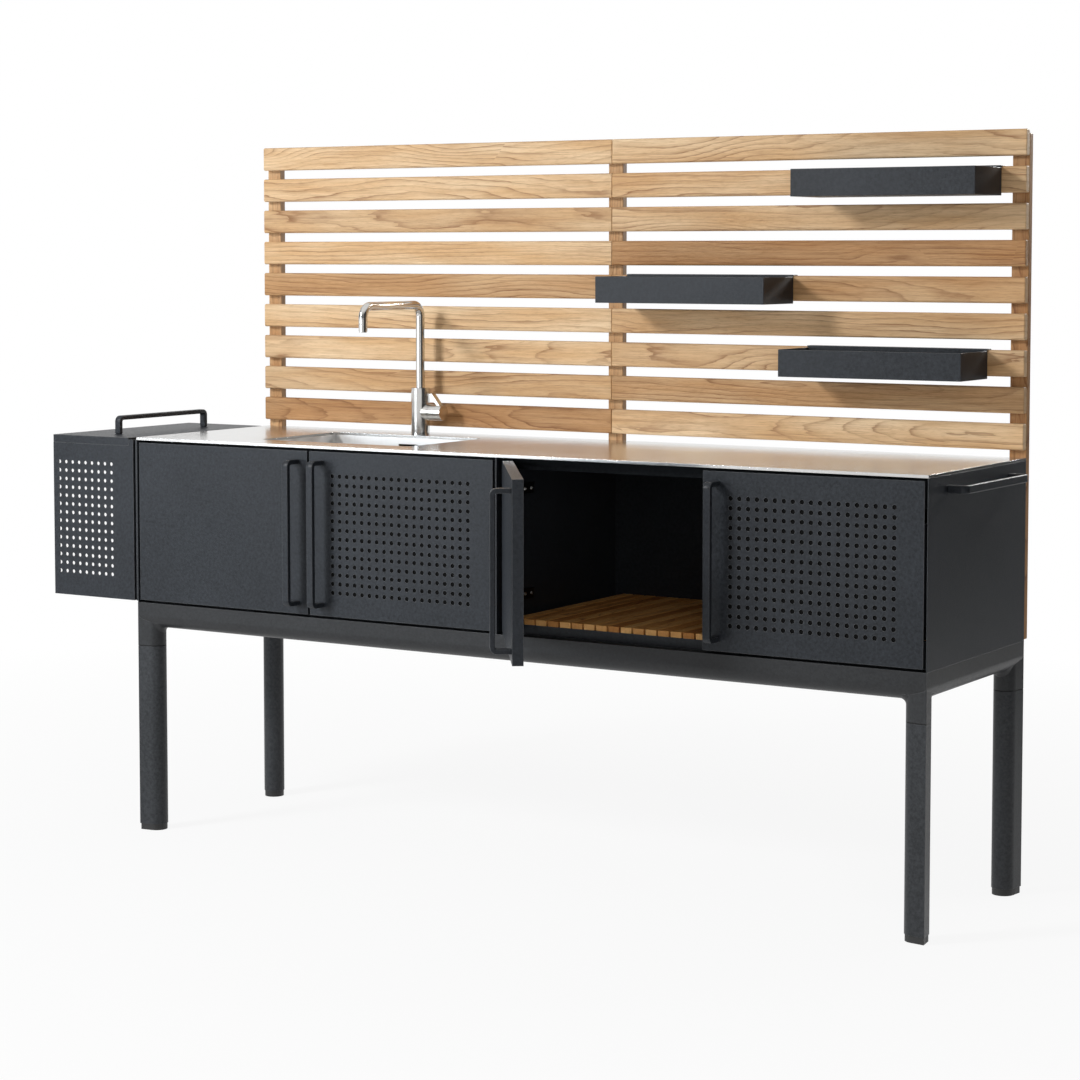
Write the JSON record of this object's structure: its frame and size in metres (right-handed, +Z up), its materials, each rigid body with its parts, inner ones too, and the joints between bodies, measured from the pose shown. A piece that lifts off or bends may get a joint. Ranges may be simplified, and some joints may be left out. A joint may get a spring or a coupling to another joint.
{
  "type": "outdoor kitchen unit",
  "caption": "Outdoor kitchen on legs: stainless top with sink and tap, folded doors, slatted timber back wall with hanging trays, side box with lift-off lid and towel rail.",
  "frame": {"origin": "centre of the bounding box's footprint, on the floor", "axes": "+X to the right along the front, +Y to the back, +Z up"},
  "size_m": [2.232, 0.8932, 1.5684],
  "materials": {
    "coat": "fine-textured matt powder coat, dark anthracite",
    "stainless": "brushed",
    "tap_steel": "polished stainless",
    "hinge_steel": "plated",
    "teak": "oiled, fine grain along the slat",
    "glide": "matt black"
  },
  "bodies": {
    "cabinet": {"bin_bottom": "coat", "bin_front": "coat", "bin_hanger": "coat", "bin_inner": "coat", "bin_outer": "coat", "bin_rear": "coat", "foot_glides": "glide", "leg_front_left": "coat", "leg_front_right": "coat", "leg_rear_left": "coat", "leg_rear_right": "coat", "leg_sockets": "coat", "module_1_back": "coat", "module_1_bottom": "coat", "module_1_floor": "teak", "module_1_hinges": "hinge_steel", "module_1_side_left": "coat", "module_1_side_right": "coat", "module_1_stretcher": "coat", "module_2_back": "coat", "module_2_bottom": "coat", "module_2_floor": "teak", "module_2_hinges": "hinge_steel", "module_2_side_left": "coat", "module_2_side_right": "coat", "module_2_stretcher": "coat", "rail_front": "coat", "rail_left": "coat", "rail_rear": "coat", "rail_right": "coat", "sink_bowl": "stainless", "sink_waste": "stainless", "slats_left": "teak", "slats_right": "teak", "tap_body": "tap_steel", "towel_rail": "coat", "wall_uprights": "teak", "worktop": "stainless"},
    "door_1": {"door_1_panel": "coat", "door_1_handle": "coat"},
    "door_2": {"door_2_pan": "coat", "door_2_front": "coat", "door_2_handle": "coat"},
    "door_3": {"door_3_panel": "coat", "door_3_handle": "coat"},
    "door_4": {"door_4_pan": "coat", "door_4_front": "coat", "door_4_handle": "coat"},
    "spout": {"tap_spout": "tap_steel"},
    "lever": {"tap_lever": "tap_steel"},
    "lid": {"bin_lid": "coat", "bin_lid_handle": "coat"},
    "upper_tray": {"tray_upper": "coat"},
    "middle_tray": {"tray_middle": "coat"},
    "lower_tray": {"tray_lower": "coat"}
  },
  "joints": [
    {"name": "door_1_hinge", "type": "hinge", "parent": "cabinet", "child": "door_1", "pos_m": [-0.846, -0.05745, 0.709], "axis": [0, 0, -1], "range_deg": [0, 85]},
    {"name": "door_2_hinge", "type": "hinge", "parent": "cabinet", "child": "door_2", "pos_m": [0.084, -0.05745, 0.709], "axis": [0, 0, 1], "range_deg": [0, 85]},
    {"name": "door_3_hinge", "type": "hinge", "parent": "cabinet", "child": "door_3", "pos_m": [0.124, -0.05745, 0.709], "axis": [0, 0, -1], "range_deg": [-55, 30]},
    {"name": "door_4_hinge", "type": "hinge", "parent": "cabinet", "child": "door_4", "pos_m": [1.054, -0.05745, 0.709], "axis": [0, 0, 1], "range_deg": [0, 85]},
    {"name": "spout_swivel", "type": "hinge", "parent": "cabinet", "child": "spout", "pos_m": [-0.381, 0.36705, 0.987], "axis": [0, 0, 1], "range_deg": [-80, 80]},
    {"name": "lever_turn", "type": "hinge", "parent": "cabinet", "child": "lever", "pos_m": [-0.344, 0.36705, 0.951], "axis": [1, 0, 0], "range_deg": [0, 80]},
    {"name": "lid_lift", "type": "slide", "parent": "cabinet", "child": "lid", "axis": [0, 0, 1], "range_m": [0, 0.15]},
    {"name": "upper_tray_lift", "type": "slide", "parent": "cabinet", "child": "upper_tray", "axis": [0, 0, 1], "range_m": [0, 0.015]},
    {"name": "middle_tray_lift", "type": "slide", "parent": "cabinet", "child": "middle_tray", "axis": [0, 0, 1], "range_m": [0, 0.015]},
    {"name": "lower_tray_lift", "type": "slide", "parent": "cabinet", "child": "lower_tray", "axis": [0, 0, 1], "range_m": [0, 0.015]}
  ]
}
